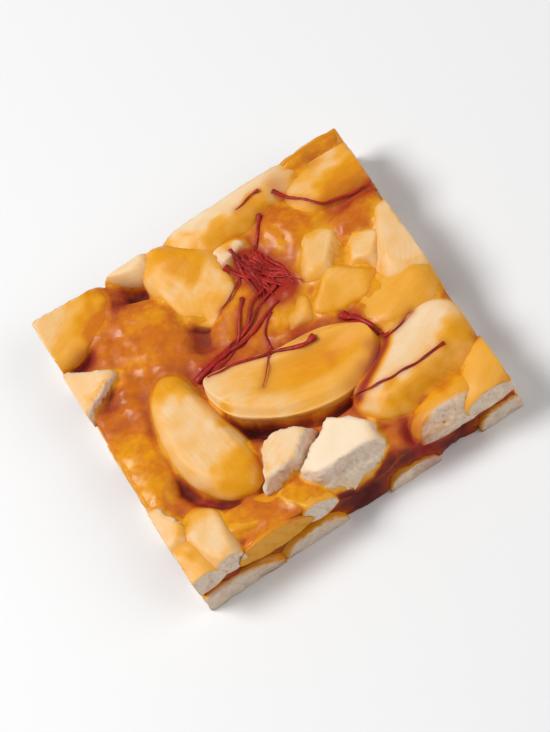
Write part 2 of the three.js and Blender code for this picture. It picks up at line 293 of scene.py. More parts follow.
# Saffron threads, as their points on the top of the brittle and their thickness
THREADS = (
    (((10.6, 21.2), (9, 18.6), (7, 16.6), (6, 15)), 0.42),
    (((4.2, 15.5), (2, 13), (-0.5, 11.6), (-2.5, 10.8)), 0.36),
    (((5, 9.8), (2, 8), (0, 6), (-2.5, 5), (-5, 4.6)), 0.36),
    (((-11.4, 2.4), (-8, 3.2), (-5, 3.8), (-1, 4), (2.5, 5.4), (6, 6.6)), 0.75),
    (((7, 9.4), (3, 7.4), (-0.5, 5.4), (-4.5, 4.4), (-7.5, 3.9), (-10.4, 3.1)), 0.4),
    (((1.4, 10), (-0.4, 7.4), (-2.6, 4.6), (-5.4, 2.8), (-8.6, 2)), 0.34),
    (((7.4, -3.4), (5.6, -3.6), (4.1, -3.1), (2.4, -2.2), (0.6, -1.4), (-4.4, -0.1), (-9.4, 0.5)), 0.7),
    (((4, 5.6), (2, 3.6), (1, 1.2), (0.6, -0.8), (-1, -3.2), (-3.2, -5.8)), 0.32),
    (((12.8, -1.4), (14, -3.6), (15.2, -5.8), (16.2, -8.4)), 0.85),
    (((16, -9.3), (17.6, -9.4), (19.4, -9), (21.4, -8.4)), 0.32),
    (((22.6, -17), (18, -17.2), (14, -16.8), (10, -16.2), (6.8, -15)), 0.44),
    (((14.4, 22.8), (16, 20.4), (18, 17.8), (20, 16), (23, 15.4), (26, 14.9), (27.6, 15.2)), 0.5),
    (((12.6, 24.1), (10, 23.5), (8, 23.4)), 0.3),
)

# The clump of saffron: the gates that its threads pass through one after another, as left and right ends
CLUMP = (
    ((3.6, 17.8), (6.8, 16.8)),
    ((3.8, 14.4), (8, 13.6)),
    ((4.6, 10.6), (9.8, 10.8)),
    ((4.4, 6.2), (10, 7)),
)
CLUMP_THREADS = 24
CLUMP_THICKNESS = (0.3, 0.65)
CLUMP_SEED = 500

# Where between the gates' ends a thread may pass, how far it strays, the points of its whole path, the limits
# between which its stretch of them starts and ends, and the step from one that is kept to the next
CLUMP_SHARES = (-0.1, 1.1)
CLUMP_STRAY = 0.6
CLUMP_POINTS = 40
CLUMP_STARTS = (0, 16)
CLUMP_ENDS = (25, 40)
CLUMP_STEP = 4

# Where saffron has stained the sugar, and, along the crevice between two cashews, painted shade in its red,
# as (x, y, radius, strength)
STAIN_AND_SHADE_SPOTS = (
    (5.2, 15.4, 2.2, 2.2),
    (6.4, 12, 2.8, 1.6),
    (7, 8.2, 2.8, 2.0),
    (-9.6, 2.7, 1.7, 1.2),
    (-6.4, 3, 2.4, 1.0),
    (14, -3.5, 1.6, 1.2),
    (13.8, -9.8, 1.5, 1.0),
    (11, -12.4, 1.5, 0.8),
    (8.4, -15, 1.9, 1.2),
    (22.4, 14.2, 2.4, 0.9),
    (26.5, 14.6, 1.6, 0.8),
    (6, -0.4, 2.2, 0.9),
    (2, 2.2, 1.6, 0.6),
    (15.2, 23.6, 1.6, 0.8),
    (22, 24.8, 1.6, 0.5),
    (22.4, -17, 1, 0.9),
    (12, -25, 2.2, 1.0),
    (-19.5, -15.5, 1.8, 0.5),
    (-24, 17.6, 1.8, 0.5),
)


# Shapes as arrays

# How many sine waves make noise, how their lengths spread, and how many times its size a blur reaches
WAVE_COUNT = 10
WAVE_SPREAD = (0.7, 1.4)
BLUR_REACH = 4


def waves(points, size, seed):
    """Smooth noise of about -1 to 1: a sum of sine waves.

    Their lengths are spread about one size, and their directions and phases are random.
    """
    rng = np.random.default_rng(seed)
    directions = rng.normal(size=(WAVE_COUNT, points.shape[-1]))
    directions /= np.linalg.norm(directions, axis=1, keepdims=True)
    spacings = size * rng.uniform(*WAVE_SPREAD, WAVE_COUNT)
    phases = rng.uniform(0, 2 * np.pi, WAVE_COUNT)
    total = np.zeros(points.shape[:-1])
    for direction, spacing, phase in zip(directions, spacings, phases):
        total += np.sin(points @ direction * (2 * np.pi / spacing) + phase)
    return total / math.sqrt(WAVE_COUNT)


def uneven(points, table, seed=0, level=0.0):
    """A level with waves added, from rows of (height, wavelength, number added to the seed)."""
    return sum((height * waves(points, size, seed + own) for height, size, own in table), level)


def smooth_step(low, high, value):
    """0 below low, 1 above high and a cubic ease between them."""
    share = np.clip((value - low) / (high - low), 0, 1)
    return share * share * (3 - 2 * share)


def blurred(field, cells):
    """The field averaged by a Gaussian of that many cells, with its edges repeated.

    Its Fourier transform is multiplied by the Gaussian's, exp(-2 * (pi * cells * frequency)^2).
    """
    pad = int(BLUR_REACH * cells) + 1
    wide = np.pad(field, pad, mode="edge")
    down = np.fft.fftfreq(wide.shape[0])[:, None]
    along = np.fft.rfftfreq(wide.shape[1])[None, :]
    fall = np.exp(-2 * (np.pi * cells) ** 2 * (down ** 2 + along ** 2))
    return np.fft.irfft2(np.fft.rfft2(wide) * fall, wide.shape)[pad:-pad, pad:-pad]


def power(value, exponent):
    """The value's size raised to a power, with its sign kept."""
    return np.sign(value) * np.abs(value) ** exponent


# As shares of a plane's distance: the farthest that counts, and where the new face begins and is whole
REACH_LIMIT = 8
FACE_EDGE = (0.98, 1.06)


def clip_face(points, middle, normal, distance, sharpness):
    """Draws the points beyond a plane back to it along lines from the middle.

    With s the distance past the middle as a share of the plane's, each point moves to 1 / (1 + s^n)^(1/n)
    of its way out, so a high n leaves a sharp edge. Returns the points and how far each lies on the new
    face, 0 to 1.
    """
    reach = np.clip((points - middle) @ normal / distance, 0, REACH_LIMIT)
    share = (1 + reach ** sharpness) ** (-1 / sharpness)
    return middle + (points - middle) * share[..., None], smooth_step(*FACE_EDGE, reach)


Surface = namedtuple("Surface", "points place broken knife bare groove")

# The power of a kernel's section, how much wider its head is, how blunt its ends are, and how far its
# underside rises to the edges
FULLNESS = 0.85
HEAD_SHARE = 0.2
BLUNTNESS = 3.0
KEEL = 0.3

# The groove of an open half: its depth, its width and middle along and across, and the lip round it
GROOVE = 0.22
GROOVE_WIDTH = (0.3, 0.45)
GROOVE_MIDDLE = (0.6, 0.14)
LIP_DROP = 0.16
LIP_START = 0.55


def kernel(cashew, rings, sides):
    """An unbroken kernel along x, as rings of points, and how far each point is in its groove.

    Its centre line is an arc. The section there is a power curve, sin and cos to the power of fullness,
    over an underside that rises from its keel as a parabola, or the other way up with a groove for an open
    half. Both shrink to the ends as the root of 1 - |2u - 1|^bluntness.
    """
    u = (0.5 - 0.5 * np.cos(np.pi * np.linspace(0, 1, rings + 2)[1:-1]))[:, None]
    v = (np.linspace(0, 2 * np.pi, sides, endpoint=False) - np.pi / 2)[None, :]
    bend = math.radians(cashew.bend)
    radius = cashew.length / bend
    taper = np.sqrt(1 - np.abs(2 * u - 1) ** BLUNTNESS)
    across = power(np.cos(v), FULLNESS)
    rise = power(np.sin(v), FULLNESS)
    out = 0.5 * cashew.width * taper * (1 + HEAD_SHARE * (2 * u - 1)) * across
    groove = np.zeros_like(out)
    if cashew.open:
        groove = np.exp(-((u - GROOVE_MIDDLE[0]) / GROOVE_WIDTH[0]) ** 4)
        groove = groove * np.exp(-((across - GROOVE_MIDDLE[1]) / GROOVE_WIDTH[1]) ** 4) * (rise > 0)
        lip = LIP_DROP * smooth_step(LIP_START, 1, np.abs(across)) ** 2
        up = np.where(rise > 0, 1 - GROOVE * groove - lip, 1 - lip + rise * taper)
    else:
        sill = 0 if cashew.base else KEEL * (1 - taper ** 2 * (1 - across ** 2))
        up = sill + (1 - sill) * np.maximum(rise, 0) * taper
    theta = (u - 0.5) * bend + 0 * v
    x = (radius + out) * np.sin(theta)
    y = (radius + out) * np.cos(theta) - radius
    z = cashew.floor + (cashew.top - cashew.floor) * up + cashew.lean[0] * x + cashew.lean[1] * y
    return np.stack([x, y, z], -1), groove


def placed(cashew, local):
    """A kernel's points in the brittle, turned and moved to its place."""
    turn = math.radians(cashew.turn)
    x, y, z = np.moveaxis(local, -1, 0)
    return np.stack([
        cashew.x + x * math.cos(turn) - y * math.sin(turn),
        cashew.y + x * math.sin(turn) + y * math.cos(turn),
        z,
    ], -1)


# The slopes above which a face is bare skin, and smooth
BARE_SLOPE = 70
SMOOTH_SLOPE = 35

# Kinds of face, as the least slope, how rugged it is and how sharp its edge is
FACE_KINDS = ((BARE_SLOPE, 0.12, 18), (SMOOTH_SLOPE, 0.3, 13), (-90, 0.9, 18))

# The knife's cut: how much deeper it may go, how rugged and sharp it is, and how far from it a middle stays
CUT_INSET = 0.25
CUT_RUGGEDNESS = 1.1
CUT_SHARPNESS = 40
CUT_MARGIN = 1.8

# Waves in a kernel's shape and on its faces, as (height, wavelength, number added to its seed)
SWELL = ((0.02, 9, 0), (0.004, 3.2, 1))
RUGGED = ((0.16, 2.6, 2), (0.08, 0.9, 3))


def broken_off(points, cashew):
    """A kernel's points drawn back by its faces: the steeper a face looks up, the smoother it is.

    Returns them with the way that ruggedness pushes each, and how far each is on a broken and a bare face.
    """
    push = np.zeros_like(points)
    broken = np.zeros(points.shape[:-1])
    bare = np.zeros_like(broken)
    for direction, distance, slope in cashew.faces:
        rugged, sharpness = next(kind for least, *kind in FACE_KINDS if slope > least)
        normal = bearing(direction, slope)
        points, face = clip_face(points, cashew.middle, normal, distance, sharpness)
        push = push + face[..., None] * (rugged * normal - push)
        broken = np.where(slope > SMOOTH_SLOPE, broken * (1 - face), np.maximum(broken, face))
        bare = np.where(slope > BARE_SLOPE, np.maximum(bare, face), bare * (1 - face))
    return points, push, broken, bare


def cut_off(points, push, middle, seed):
    """A kernel's points drawn back by the knife, which goes a little deeper at random on each side.

    Returns them with the way that ruggedness pushes each, and how far each is on a cut face.
    """
    inset = np.random.default_rng(seed).uniform(0, CUT_INSET, len(KNIFE))
    inside = np.array([HALF_WIDTH - CUT_MARGIN, HALF_DEPTH - CUT_MARGIN, np.inf])
    middle = np.clip(middle, -inside, inside)
    knife = np.zeros(points.shape[:-1])
    for (along, back, half), deeper in zip(KNIFE, inset):
        normal = np.array([along, back, 0.0])
        points, face = clip_face(points, middle, normal, half - deeper - middle @ normal, CUT_SHARPNESS)
        push = push + face[..., None] * (CUT_RUGGEDNESS * normal - push)
        knife = np.maximum(knife, face)
    return points, push, knife


def cashew_surface(cashew, rings, sides):
    """A cashew's surface as rings of points, with what is known of each.

    That is its place in the kernel, and how far it is on a broken, a cut and a bare face and in the groove.
    Slow waves make the kernel uneven, its faces and the knife draw points back, and quick waves push the
    points on those faces in and out, but never past the knife.
    """
    place, groove = kernel(cashew, rings, sides)
    points = placed(cashew, place)
    seed = sum(map(ord, cashew.name))
    middle = cashew.middle
    if not cashew.base:
        points = middle + (points - middle) * (1 + uneven(points, SWELL, seed)[..., None])
    points, push, broken, bare = broken_off(points, cashew)
    points, push, knife = cut_off(points, push, middle, seed)
    rough = uneven(points, RUGGED, seed)
    points = points + push * np.where(knife > 0, np.minimum(rough, 0), rough)[..., None]
    return Surface(points, place, broken * (1 - knife), knife, bare * (1 - knife), groove)


def nearest(values, axis):
    """The number of the grid line nearest to each value."""
    return np.rint((values - axis[0]) / (axis[1] - axis[0])).astype(int)


@dataclass(frozen=True)
class Ground:
    """The top of the brittle on a grid of x and y.

    sugar, rest and cashews are heights: of the sugar, of its level away from the cashews, and of the cashews.
    tone is the sugar's colour, with painted shade in its hollows, crevices and valleys, and sunk is how far
    it has sunk, 0 to 1.
    """
    x: np.ndarray
    y: np.ndarray
    sugar: np.ndarray
    rest: np.ndarray
    cashews: np.ndarray
    tone: np.ndarray
    sunk: np.ndarray

    def at(self, field, points):
        """A field's value at the grid point nearest to each point."""
        column = np.clip(nearest(points[..., 0], self.x), 0, len(self.x) - 1)
        row = np.clip(nearest(points[..., 1], self.y), 0, len(self.y) - 1)
        return field[row, column]


# Rings and sides of a cashew's surface: as a piece of each layer, and to find heights and distances
UPPER_MESH = (96, 76)
BASE_MESH = (44, 36)
HEIGHT_MESH = (260, 440)
CLOUD_MESH = (26, 20)

# How far the sugar's sides stand in from the knife's, and the height that stands for no cashew
SUGAR_INSET = 0.6
NO_CASHEW = -20.0

# How far below the level the floor of a pool is taken to be, how deep it looks, and the limit of any depth
POOL_FLOOR = 1
POOL_DEPTH = 1.7
DEPTH_LIMIT = 5

# How far the sugar drops at its edge, and over what distance that fades
EDGE_DROP = 0.3
EDGE_REACH = 0.35

# How wide a valley between cashews is, how deep it counts, and by what share of that the sugar sinks
VALLEY_REACH = 1.5
VALLEY_LIMIT = 1.5
VALLEY_DROP = 0.3

# Tones: of pools, what wetness, films and depth add, the painted shade over deep sugar that hollows and
# valleys add, and what a bare face takes away
POOL_TONE = 0.5
WET_TONE = 0.4
FILM_TONE = 0.3
DEPTH_TONE = 0.1
SUNK_SHADE_TONE = 0.35
VALLEY_SHADE_TONE = 0.27
BARE_TONE = 0.1
DARKEST = 2

# The depths of sugar over which the painted shade of hollows and valleys begins and is full
SUNK_SHADE_DEPTHS = (0.2, 1.2)
VALLEY_SHADE_DEPTHS = (0.1, 0.8)

# How far each field is blurred, in millimetres
FILM_BLUR = 0.6
LIFT_BLUR = 0.35
DEPTH_BLUR = 0.25
TONE_BLUR = 0.5
VALLEY_BLUR = 0.3

# Waves in films, the level, the sugar's top, pools and films' edges, as (height, wavelength, seed)
FILM_WAVES = ((0.03, 6, 1),)
REST_WAVES = ((0.3, 9, 3), (0.12, 3.5, 4))
SUGAR_WAVES = ((0.012, 1.6, 5), (0.045, 3, 8))
POOL_WAVES = ((0.7, 7, 6), (0.3, 2.5, 7))
FILM_EDGE_WAVES = ((0.12, 3, 33),)

# The strengths at which a film begins and is whole, and how many points a line has
FILM_EDGE = (0.2, 0.8)
LINE_POINTS = 80


def spots(place, table):
    """The sum of round spots, each height * exp(-(distance / radius)^2).

    The table's rows are (x, y, radius, height).
    """
    total = np.zeros(place.shape[:-1])
    for east, north, radius, height in table:
        apart = (place[..., 0] - east) ** 2 + (place[..., 1] - north) ** 2
        total += height * np.exp(-apart / radius ** 2)
    return total


def films(points):
    """How far a film of sugar covers the points, with an edge that wanders."""
    flat = points[..., :2]
    return smooth_step(*FILM_EDGE, spots(flat, FILMS) + uneven(flat, FILM_EDGE_WAVES))


def lines(place, table):
    """The largest of the lines in a table, each depth * exp(-(distance / radius)^2) from its path."""
    total = np.zeros(place.shape[:-1])
    for corners, radius, depth in table:
        path = smooth_path(corners, LINE_POINTS)
        apart = distance_to(place.reshape(-1, 2), path).reshape(total.shape)
        total = np.maximum(total, depth * np.exp(-(apart / radius) ** 2))
    return total


def seen_from_above(x, y, place):
    """The upper cashews on a grid: their height, and the film and the tone, with its painted shade, of the
    highest one.
    """
    height = np.full(place.shape[:-1], NO_CASHEW)
    film = np.zeros_like(height)
    tone = np.full_like(height, POOL_TONE)
    for cashew in UPPER:
        points = cashew_surface(cashew, *HEIGHT_MESH).points.reshape(-1, 3)
        column = nearest(points[:, 0], x)
        row = nearest(points[:, 1], y)
        inside = (column >= 0) & (column < len(x)) & (row >= 0) & (row < len(y))
        own = np.full_like(height, NO_CASHEW)
        np.maximum.at(own, (row[inside], column[inside]), points[inside, 2])
        film = np.where(own > height, cashew.film, film)
        tone = np.where(own > height, cashew.tone_at(place), tone)
        height = np.maximum(height, own)
    return height, film, tone


def sugar_depth(place, pitch, sugar, cashews):
    """How deep the sugar is over the cashews, or in a pool where there is none or it lies deeper."""
    pool = uneven(place, POOL_WAVES, level=POOL_DEPTH)
    depth = np.where(cashews > NO_CASHEW, np.minimum(sugar - cashews, pool), pool)
    return blurred(np.clip(depth, 0, DEPTH_LIMIT), DEPTH_BLUR / pitch)


def sugar_tone(place, pitch, depth, below, sunk, valley):
    """The sugar's tone: that of the cashew below with its painted shade, wet, and more with its depth, and
    painted shade in hollows and in valleys.
    """
    tone = blurred(below, TONE_BLUR / pitch) + WET_TONE + FILM_TONE * films(place)
    # Hollows, crevices and valleys add painted shade on top of the depth's tone
    tone = np.minimum(tone, 1) + DEPTH_TONE * depth + SUNK_SHADE_TONE * sunk * smooth_step(*SUNK_SHADE_DEPTHS, depth)
    tone += VALLEY_SHADE_TONE * blurred(valley, VALLEY_BLUR / pitch) * smooth_step(*VALLEY_SHADE_DEPTHS, depth)
    return np.clip(tone, 0, DARKEST)


@lru_cache(maxsize=1)
def ground(level, meniscus, pitch):
    """The top of the brittle, for a level of its sugar.

    The sugar climbs the cashews as the smooth maximum a + (d + sqrt(d^2 + k^2)) / 2, where a is the level, d
    is how far a cashew and its film stand over it and k is the meniscus. Hollows, crevices and the valleys
    between cashews lower the level, and the sugar falls off at its edge.
    """
    x = np.linspace(SUGAR_INSET - HALF_WIDTH, HALF_WIDTH - SUGAR_INSET, int(2 * HALF_WIDTH / pitch))
    y = np.linspace(SUGAR_INSET - HALF_DEPTH, HALF_DEPTH - SUGAR_INSET, int(2 * HALF_DEPTH / pitch))
    place = np.stack(np.meshgrid(x, y), -1)
    cashews, film, below = seen_from_above(x, y, place)
    film = blurred(film, FILM_BLUR / pitch) + uneven(place, FILM_WAVES)
    sunk = spots(place, HOLLOWS) + lines(place, CREVICES)
    rest = uneven(place, REST_WAVES, level=level) - sunk
    heights = np.maximum(cashews, rest - POOL_FLOOR)
    valley = np.clip(blurred(heights, VALLEY_REACH / pitch) - heights, 0, VALLEY_LIMIT)
    rest = rest - VALLEY_DROP * valley
    lift = blurred(np.maximum(cashews, rest - POOL_FLOOR), LIFT_BLUR / pitch) + film - rest
    sugar = rest + 0.5 * (lift + np.sqrt(lift ** 2 + meniscus ** 2))
    sugar += uneven(place, SUGAR_WAVES)
    edge = np.minimum(x[-1] - np.abs(place[..., 0]), y[-1] - np.abs(place[..., 1]))
    sugar -= EDGE_DROP * np.exp(-edge / EDGE_REACH)
    depth = sugar_depth(place, pitch, sugar, cashews)
    tone = sugar_tone(place, pitch, depth, below, sunk, valley)
    return Ground(x, y, sugar, rest, cashews, tone, np.clip(sunk + valley, 0, 1))


def distance_to(points, cloud, batch=500):
    """How far each point is from the nearest point of a cloud, in batches that fit in memory."""
    far = np.empty(len(points))
    square = (cloud ** 2).sum(1)
    for start in range(0, len(points), batch):
        some = points[start:start + batch]
        apart = (some ** 2).sum(1)[:, None] + square - 2 * some @ cloud.T
        far[start:start + batch] = np.sqrt(np.maximum(apart.min(1), 0))
    return far


def smooth_path(corners, count):
    """A Catmull-Rom curve through the corners, at even steps of its parameter."""
    corners = np.asarray(corners, float)
    ends = np.vstack([2 * corners[0] - corners[1], corners, 2 * corners[-1] - corners[-2]])
    along = np.linspace(0, len(corners) - 1, count)
    step = np.minimum(along.astype(int), len(corners) - 2)
    t = (along - step)[:, None]
    a, b, c, d = (ends[step + i] for i in range(4))
    curve = 2 * b + (c - a) * t + (2 * a - 5 * b + 4 * c - d) * t ** 2
    return 0.5 * (curve + (3 * b - a - 3 * c + d) * t ** 3)


# Meshes

def ring_faces(rings, sides, start=0):
    """The quads between rings of points that follow each other.

    They face out of a tube whose rings run clockwise, seen against the way from ring to ring.
    """
    ring, side = np.meshgrid(np.arange(rings - 1), np.arange(sides), indexing="ij")
    following = (side + 1) % sides
    here = start + ring * sides
    there = here + sides
    return np.stack([here + side, there + side, there + following, here + following], -1).reshape(-1, 4)


def fan_faces(hub, ring):
    """The triangles from a hub to each side of a ring."""
    return np.stack([np.full(len(ring), hub), ring, np.roll(ring, -1)], -1)


def tube_faces(rings, sides, start=0):
    """The faces of a closed tube: the quads between its rings, and the fans to the two hubs after them."""
    first = start + np.arange(sides)
    last = first + (rings - 1) * sides
    hub = start + rings * sides
    fans = np.concatenate([fan_faces(hub, first), fan_faces(hub + 1, last[::-1])])
    return ring_faces(rings, sides, start), fans


def with_ends(grid):
    """Rings of values as one list, followed by the means of the first ring and of the last."""
    flat = grid.reshape(-1, *grid.shape[2:])
    return np.concatenate([flat, grid[0].mean(0)[None], grid[-1].mean(0)[None]])


def new_piece(name, points, faces, attributes, material):
    """A mesh object in metres, from points in millimetres and lists of faces.

    Its attributes hold one value or vector for each point.
    """
    mesh = bpy.data.meshes.new(name)
    corners = np.concatenate([f.reshape(-1) for f in faces]).astype(np.int32)
    sizes = np.concatenate([np.full(len(f), f.shape[1]) for f in faces])
    starts = np.concatenate([[0], np.cumsum(sizes)[:-1]]).astype(np.int32)
    mesh.vertices.add(len(points))
    mesh.vertices.foreach_set("co", (points * MM).astype(np.float32).reshape(-1))
    mesh.loops.add(len(corners))
    mesh.loops.foreach_set("vertex_index", corners)
    mesh.polygons.add(len(sizes))
    mesh.polygons.foreach_set("loop_start", starts)
    mesh.polygons.foreach_set("use_smooth", np.ones(len(sizes), bool))
    for label, values in attributes.items():
        vector = values.ndim == 2
        layer = mesh.attributes.new(label, "FLOAT_VECTOR" if vector else "FLOAT", "POINT")
        layer.data.foreach_set("vector" if vector else "value", values.astype(np.float32).reshape(-1))
    mesh.update(calc_edges=True)
    if mesh.validate():
        raise RuntimeError(f"{name} has faces that Blender had to mend")
    mesh.materials.append(material)
    piece = bpy.data.objects.new(name, mesh)
    bpy.context.scene.collection.objects.link(piece)
    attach(piece, "root")
    return piece


# Materials

class Shading:
    """A material's node tree, with short calls to add and link its nodes."""

    def __init__(self, name):
        self.material = bpy.data.materials.new(name)
        self.material.use_nodes = True
        self.tree = self.material.node_tree
        self.surface = self.tree.nodes["Principled BSDF"]

    def add(self, kind, inputs=(), **settings):
        """A node with its settings, its inputs set to values or linked to sockets."""
        node = self.tree.nodes.new(kind)
        for key, value in settings.items():
            setattr(node, key, value)
        for key, value in dict(inputs).items():
            self.put(node.inputs[key], value)
        return node

    def put(self, socket, value):
        """Links a socket to another, or sets its value."""
        if isinstance(value, bpy.types.NodeSocket):
            self.tree.links.new(value, socket)
        else:
            socket.default_value = value

    def attribute(self, name, output="Fac"):
        """One of the piece's attributes."""
        return self.add("ShaderNodeAttribute", attribute_name=name).outputs[output]

    def noise(self, vector, scale, detail=3.0, roughness=0.5):
        """Noise of 0 to 1 at a vector."""
        inputs = {"Vector": vector, "Scale": scale, "Detail": detail, "Roughness": roughness}
        return self.add("ShaderNodeTexNoise", inputs).outputs["Fac"]

    def place(self):
        """The point's place in the object, in metres."""
        return self.add("ShaderNodeTexCoord").outputs["Object"]

    def math(self, operation, a, b, clamp=False):
        """Two numbers joined by an operation."""
        return self.add("ShaderNodeMath", {0: a, 1: b}, operation=operation, use_clamp=clamp).outputs[0]

    def scaled(self, vector, factors):
        """A vector multiplied by a factor along each axis."""
        return self.add("ShaderNodeVectorMath", {0: vector, 1: factors}, operation="MULTIPLY").outputs[0]

    def span(self, value, source, target):
        """The value taken from one range to another, and held within it."""
        inputs = {
            "Value": value,
            "From Min": source[0],
            "From Max": source[1],
            "To Min": target[0],
            "To Max": target[1],
        }
        return self.add("ShaderNodeMapRange", inputs).outputs["Result"]

    def mix(self, share, a, b):
        """Two colours mixed."""
        node = self.add("ShaderNodeMix", data_type="RGBA", clamp_factor=True)
        self.put(node.inputs["Factor"], share)
        self.put(node.inputs["A"], a)
        self.put(node.inputs["B"], b)
        return node.outputs["Result"]

    def ramp(self, share, stops):
        """A colour ramp with its stops as (position, colour)."""
        node = self.add("ShaderNodeValToRGB", {"Fac": share})
        while len(node.color_ramp.elements) < len(stops):
            node.color_ramp.elements.new(1)
        for element, (position, colour) in zip(node.color_ramp.elements, stops):
            element.position = position
            element.color = colour
        return node.outputs["Color"]

    def bump(self, height, strength, distance, normal=None):
        """A normal tilted by the slope of a height, on top of another one's."""
        inputs = {"Height": height, "Strength": strength, "Distance": distance}
        if normal is not None:
            inputs["Normal"] = normal
        return self.add("ShaderNodeBump", inputs).outputs["Normal"]

    def finish(self, **inputs):
        """Sets the surface's inputs, whose names are given with underscores for spaces."""
        for key, value in inputs.items():
            self.put(self.surface.inputs[key.replace("_", " ")], value)
        return self.material


# The range that most of a noise lies in, and how far the grain is stretched along and across a kernel
NOISE_RANGE = (0.3, 0.7)
GRAIN_STRETCH = (0.12, 1.3, 1.3)

# The tones at which the colours stand, from white cashew over amber to the darkest sugar
TONES = {"white": 0, "pale": 0.25, "gold": 0.5, "orange": 0.75, "amber": 1, "brown": 1.5, "dark": DARKEST}
FLOOR_SHADE = (0.6, 0.6, 0.6)


def rgba(colour):
    """A colour as a socket takes it, fully opaque."""
    return (*colour, 1.0)


def toned(s, tone, colours):
    """The colour of a tone."""
    share = s.math("MULTIPLY", tone, 1 / DARKEST, clamp=True)
    return s.ramp(share, [(place / DARKEST, rgba(getattr(colours, name))) for name, place in TONES.items()])


def sugar_material(colours):
    """Cooked sugar: glossy, with a colour that follows its tone, stained red round the saffron, with some red
    painted shade along a crevice.
    """
    s = Shading("cooked_sugar")
    place = s.place()
    dull = s.attribute("dull")
    cloud = s.noise(place, scale=260.0, detail=4.0)
    mottled = s.noise(place, scale=1100.0)
    tone = s.math("ADD", s.attribute("tone"), s.span(cloud, NOISE_RANGE, (-0.16, 0.16)))
    tone = s.math("ADD", tone, s.span(mottled, NOISE_RANGE, (-0.08, 0.08)))
    stain = s.math("MULTIPLY", s.attribute("stain"), s.span(cloud, (0.2, 0.8), (0.8, 1.0)))
    body = s.mix(stain, toned(s, tone, colours), rgba(colours.stain))
    crust = s.math("MULTIPLY", s.noise(place, scale=1500.0, detail=6.0, roughness=0.65), dull)
    normal = s.bump(mottled, strength=0.08, distance=0.0004)
    normal = s.bump(crust, strength=0.4, distance=0.0006, normal=normal)
    rough = s.span(s.noise(place, scale=500.0), (0.35, 0.7), (0.14, 0.36))
    rough = s.math("ADD", rough, s.math("MULTIPLY", dull, 0.45))
    return s.finish(
        Base_Color=body,
        Roughness=rough,
        Normal=normal,
        Specular_IOR_Level=0.22,
        Subsurface_Weight=0.3,
        Subsurface_Radius=(1.0, 0.4, 0.1),
        Subsurface_Scale=0.0012,
    )


def cashew_material(colours):
    """Roasted cashew: a colour that follows its tone, fine lines along it, and grainy where it is cut."""
    s = Shading("roasted_cashew")
    place = s.place()
    cut = s.attribute("cut")
    cloud = s.noise(place, scale=260.0, detail=4.0)
    stretched = s.scaled(s.attribute("grain", "Vector"), GRAIN_STRETCH)
    streaks = s.noise(stretched, scale=1.6, detail=4.0, roughness=0.6)
    fine = s.noise(place, scale=2600.0, detail=5.0, roughness=0.7)
    coarse = s.noise(place, scale=900.0, detail=4.0, roughness=0.6)
    tone = s.math("ADD", s.attribute("tone"), s.span(cloud, NOISE_RANGE, (-0.05, 0.05)))
    tone = s.math("ADD", tone, s.span(streaks, (0.35, 0.65), (-0.03, 0.03)))
    grainy = s.span(fine, (0.35, 0.65), (0.0, 0.6))
    grainy = s.math("ADD", grainy, s.span(coarse, (0.42, 0.65), (0.0, 0.6)), clamp=True)
    meal = s.mix(grainy, rgba(colours.meal), rgba(colours.crumb))
    body = s.mix(cut, toned(s, tone, colours), meal)
    # The stain's red is also painted shade along a crevice
    body = s.mix(s.attribute("stain"), body, rgba(colours.stain))
    pits = s.math("MULTIPLY", s.math("SUBTRACT", coarse, 0.5), 0.7)
    pits = s.math("ADD", pits, s.math("SUBTRACT", fine, 0.5))
    share = s.math("ADD", s.math("MULTIPLY", cut, 0.6), 0.04)
    normal = s.bump(streaks, strength=0.06, distance=0.0004)
    normal = s.bump(s.math("MULTIPLY", pits, share), strength=0.8, distance=0.0007, normal=normal)
    rough = s.span(s.attribute("wet"), (0.0, 1.0), (0.5, 0.26))
    rough = s.math("ADD", rough, s.math("MULTIPLY", cut, 0.3), clamp=True)
    return s.finish(
        Base_Color=body,
        Roughness=rough,
        Normal=normal,
        Specular_IOR_Level=0.25,
        Subsurface_Weight=0.25,
        Subsurface_Radius=(1.0, 0.6, 0.3),
        Subsurface_Scale=0.0008,
    )


def saffron_material(colours):
    """Saffron: deep crimson with small darker spots, and another red towards its thin end."""
    s = Shading("saffron")
    place = s.place()
    fine = s.noise(place, scale=3000.0)
    cloud = s.noise(place, scale=500.0, detail=2.0)
    dark = s.span(fine, NOISE_RANGE, (0.0, 0.5))
    dark = s.math("ADD", dark, s.span(cloud, (0.4, 0.6), (-0.2, 0.5)), clamp=True)
    body = s.mix(dark, rgba(colours.thread), rgba(colours.thread_dark))
    end = s.span(s.attribute("along"), (0.86, 1.0), (0.0, 0.6))
    return s.finish(
        Base_Color=s.mix(end, body, rgba(colours.thread_end)),
        Roughness=s.span(fine, NOISE_RANGE, (0.28, 0.5)),
        Normal=s.bump(fine, strength=0.4, distance=0.0002),
        Specular_IOR_Level=0.25,
    )


def floor_material(colours):
    """A matt pale floor with a faint unevenness."""
    s = Shading("pale_floor")
    soft = s.noise(s.place(), scale=14.0, detail=2.0)
    shade = s.span(soft, NOISE_RANGE, (0.0, 0.03))
    return s.finish(
        Base_Color=s.mix(shade, rgba(colours.floor), rgba(FLOOR_SHADE)),
        Roughness=s.span(soft, NOISE_RANGE, (0.5, 0.56)),
    )


# What a user would change

def millimetres(name, description, default):
    """A size in metres, from millimetres."""
    return FloatProperty(name=name, description=description, default=default * MM, unit="LENGTH", precision=5)


def degrees(name, description, default):
    """An angle in radians, from degrees."""
    return FloatProperty(name=name, description=description, default=math.radians(default), subtype="ANGLE")


def watts(name, description, default):
    """The power of a light."""
    return FloatProperty(name=name, description=description, default=default, unit="POWER")


def colour(name, description, default):
    """A colour as its shares of red, green and blue light."""
    return FloatVectorProperty(name=name, description=description, default=default, subtype="COLOR",
                               min=0, max=1)


